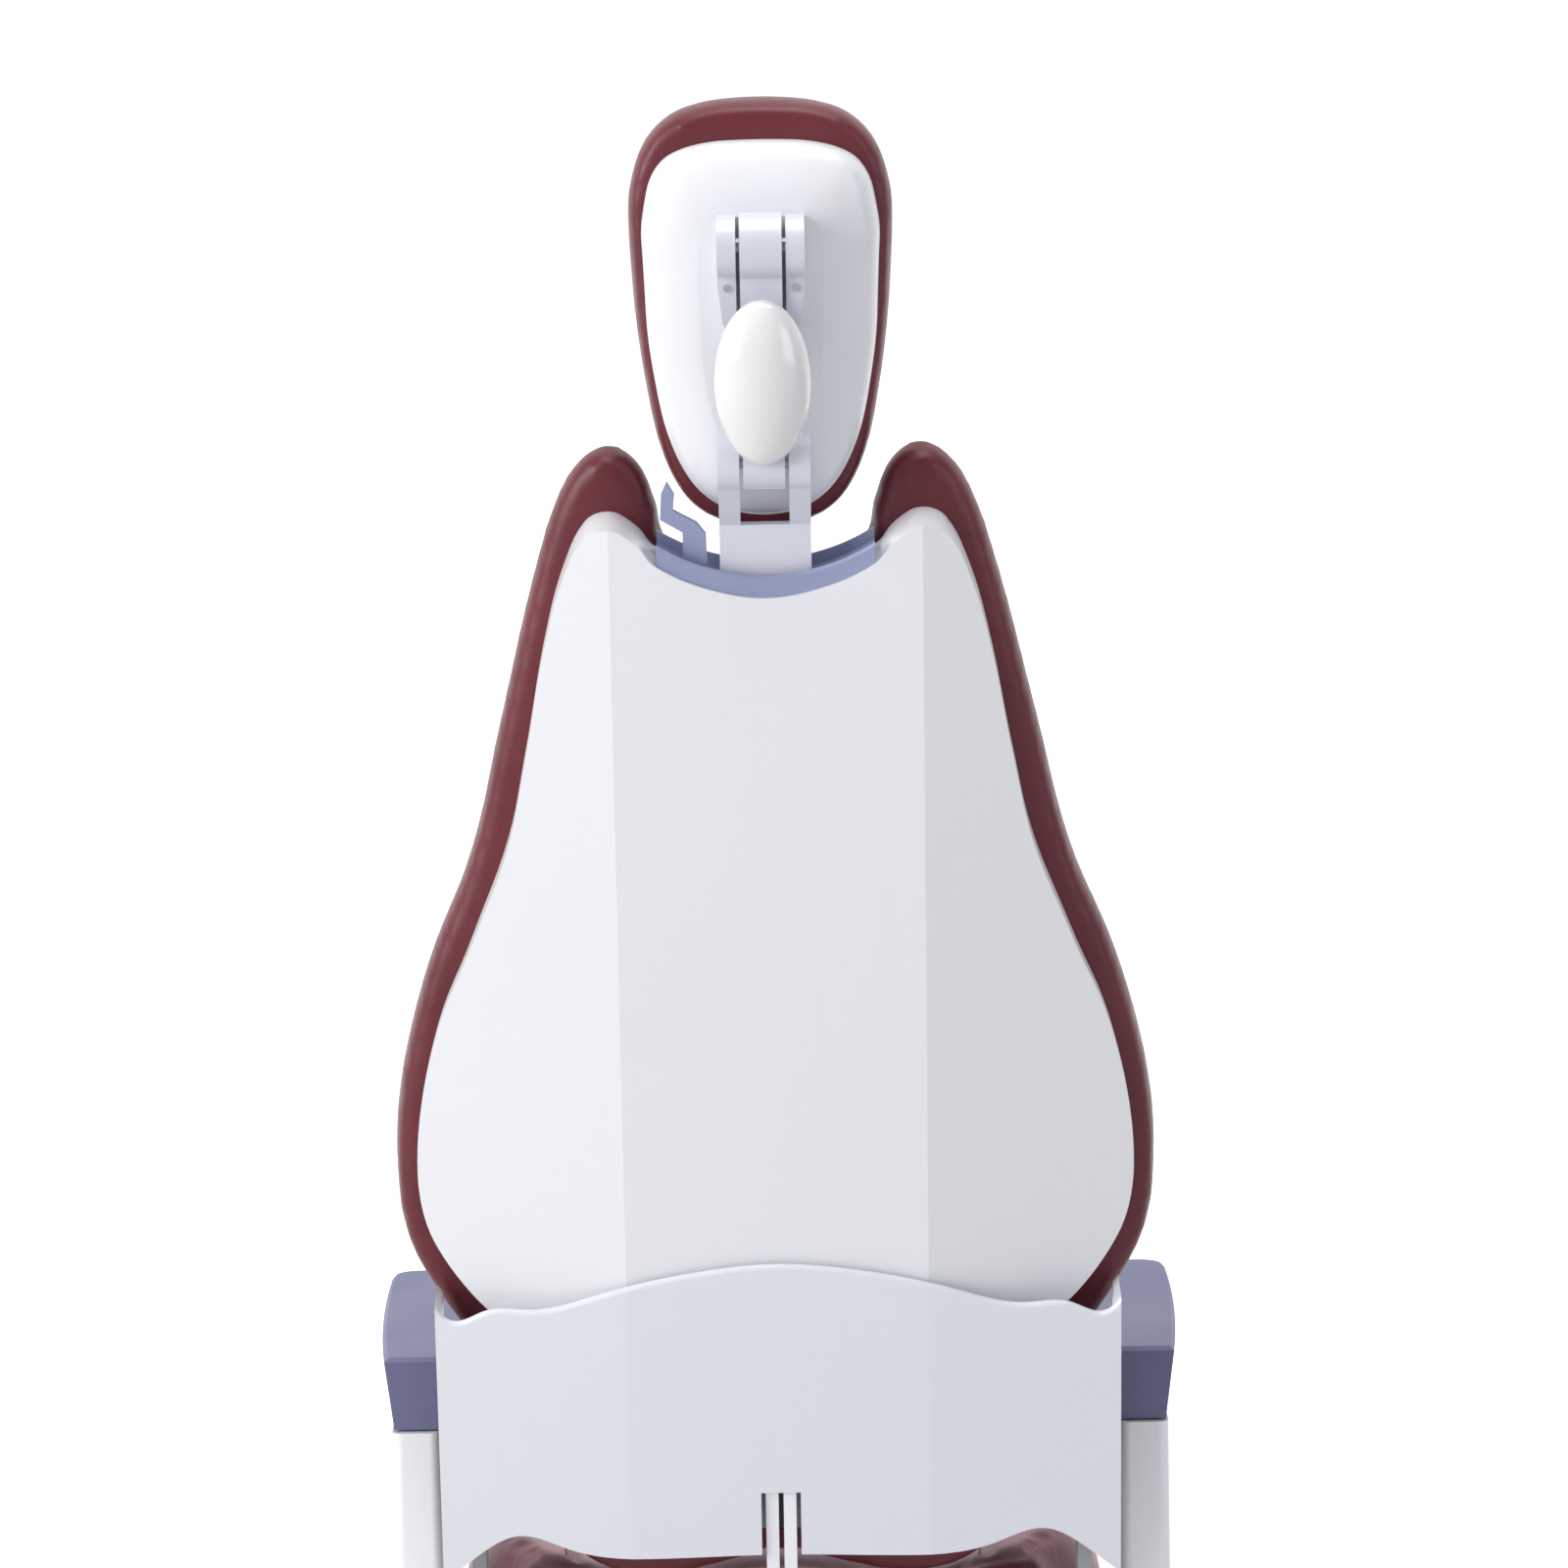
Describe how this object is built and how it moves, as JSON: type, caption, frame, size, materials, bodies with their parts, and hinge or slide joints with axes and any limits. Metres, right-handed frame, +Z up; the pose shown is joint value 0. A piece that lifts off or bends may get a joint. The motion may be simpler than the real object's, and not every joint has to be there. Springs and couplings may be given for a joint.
{
  "type": "dental chair",
  "caption": "Dental treatment chair with a lifting base, contoured seat, reclining pear-shaped back, swing armrests and a double-jointed sliding headrest.",
  "frame": {"origin": "centre of the four floor anchor holes, on the underside of the base plate", "axes": "+Z up, +Y the way the patient faces, +X the patient's right hand"},
  "size_m": [0.5942, 1.2184, 1.4909],
  "materials": {
    "upholstery": "smooth maroon upholstery vinyl",
    "white_plastic": "glossy cool white moulding",
    "paddle_plastic": "glossy warm white moulding",
    "blue_grey_plastic": "satin blue-grey moulding",
    "white_paint": "white powder coat",
    "grey_paint": "grey powder coat",
    "silver": "satin silver",
    "steel": "ground steel",
    "board": "plywood",
    "bronze": "bearing bronze"
  },
  "bodies": {
    "base": {"base_plate": "grey_paint", "pivot_tower": "grey_paint", "tower_bolts": "steel", "base_pivot_pins": "steel", "base_cover_left": "white_plastic", "base_cover_right": "white_plastic", "tower_cover": "white_plastic", "lift_actuator": "grey_paint"},
    "lower_arm": {"lower_lift_arm": "grey_paint", "lift_crank_pin": "steel"},
    "upper_arm": {"upper_lift_arm": "grey_paint", "lift_arm_cover": "white_plastic"},
    "lift_screw": {"lift_rod": "steel"},
    "seat": {"carriage_left": "grey_paint", "carriage_right": "grey_paint", "carriage_pivot_pins": "steel", "carriage_cover": "white_plastic", "seat_frame": "grey_paint", "leg_rails": "grey_paint", "hinge_bracket_left": "white_paint", "hinge_bracket_right": "white_paint", "back_hinge_pins": "steel", "seat_board": "board", "seat_tray": "white_plastic", "leg_board": "board", "seat_cushion": "upholstery", "leg_cushion": "upholstery", "back_actuator": "grey_paint", "armrest_post_left": "white_paint", "armrest_post_right": "white_paint", "armrest_spindles": "steel"},
    "back_screw": {"back_rod": "steel"},
    "back": {"back_shell": "white_plastic", "yoke_trim": "blue_grey_plastic", "back_cushion": "upholstery", "back_board": "board", "back_frame": "grey_paint", "hinge_bushes": "bronze", "crank_plates": "white_paint", "crank_pin": "steel", "hinge_cover": "white_plastic", "glide_guide": "silver", "lever_pivot": "steel"},
    "release_lever": {"bar_lock_lever": "blue_grey_plastic"},
    "head_bar": {"glide_bar": "white_paint", "lower_hinge_pin": "steel"},
    "head_arm": {"head_link": "silver", "paddle_pin": "steel"},
    "paddle": {"lock_paddle": "paddle_plastic"},
    "headrest": {"head_shell": "white_plastic", "head_cushion": "upholstery", "head_bracket": "silver", "upper_hinge_pin": "steel", "bracket_screws": "steel"},
    "left_armrest": {"armrest_pad_left": "blue_grey_plastic"},
    "right_armrest": {"armrest_pad_right": "blue_grey_plastic"}
  },
  "joints": [
    {"name": "lift", "type": "hinge", "parent": "base", "child": "lower_arm", "pos_m": [0, 0.19, 0.14], "axis": [-1, 0, 0], "range_deg": [0, 48]},
    {"name": "upper_arm_swing", "type": "hinge", "parent": "base", "child": "upper_arm", "pos_m": [0, 0.19, 0.225], "axis": [-1, 0, 0], "range_deg": [0, 48]},
    {"name": "seat_level", "type": "hinge", "parent": "lower_arm", "child": "seat", "pos_m": [0, -0.20392, 0.07054], "axis": [-1, 0, 0], "range_deg": [-48, 0]},
    {"name": "lift_screw_slide", "type": "slide", "parent": "base", "child": "lift_screw", "axis": [0, -1, 0], "range_m": [0, 0.06345]},
    {"name": "recline", "type": "hinge", "parent": "seat", "child": "back", "pos_m": [0, -0.215, 0.385], "axis": [1, 0, 0], "range_deg": [0, 65]},
    {"name": "back_screw_slide", "type": "slide", "parent": "seat", "child": "back_screw", "axis": [0, 1, 0], "range_m": [0, 0.09456]},
    {"name": "head_height", "type": "slide", "parent": "back", "child": "head_bar", "axis": [0, -0.2079, 0.9781], "range_m": [-0.01, 0.085]},
    {"name": "head_arm_tilt", "type": "hinge", "parent": "head_bar", "child": "head_arm", "pos_m": [0, -0.46605, 1.24868], "axis": [1, 0, 0], "range_deg": [-6, 35]},
    {"name": "head_tilt", "type": "hinge", "parent": "head_arm", "child": "headrest", "pos_m": [0, -0.49683, 1.39344], "axis": [1, 0, 0], "range_deg": [0, 40]},
    {"name": "lock_paddle_press", "type": "hinge", "parent": "head_arm", "child": "paddle", "pos_m": [0, -0.51064, 1.31894], "axis": [-1, 0, 0], "range_deg": [0, 12], "stiffness_Nm_per_rad": 1, "springref_deg": -8.59},
    {"name": "bar_release", "type": "hinge", "parent": "back", "child": "release_lever", "pos_m": [-0.047, -0.42146, 1.14468], "axis": [0, -0.9781, -0.2079], "range_deg": [0, 8], "stiffness_Nm_per_rad": 0.5, "springref_deg": -11.46},
    {"name": "left_armrest_swing", "type": "hinge", "parent": "seat", "child": "left_armrest", "pos_m": [-0.2595, -0.1875, 0.56], "axis": [0, 0, 1], "range_deg": [0, 90]},
    {"name": "right_armrest_swing", "type": "hinge", "parent": "seat", "child": "right_armrest", "pos_m": [0.2595, -0.1875, 0.56], "axis": [0, 0, -1], "range_deg": [0, 90]}
  ],
  "couplings": [
    {"joint": "upper_arm_swing", "follows": "lift", "ratio": 1},
    {"joint": "seat_level", "follows": "lift", "ratio": -1},
    {"joint": "lift_screw_slide", "follows": "lift", "m_per_rad": 0.075739},
    {"joint": "back_screw_slide", "follows": "recline", "m_per_rad": 0.083356}
  ]
}
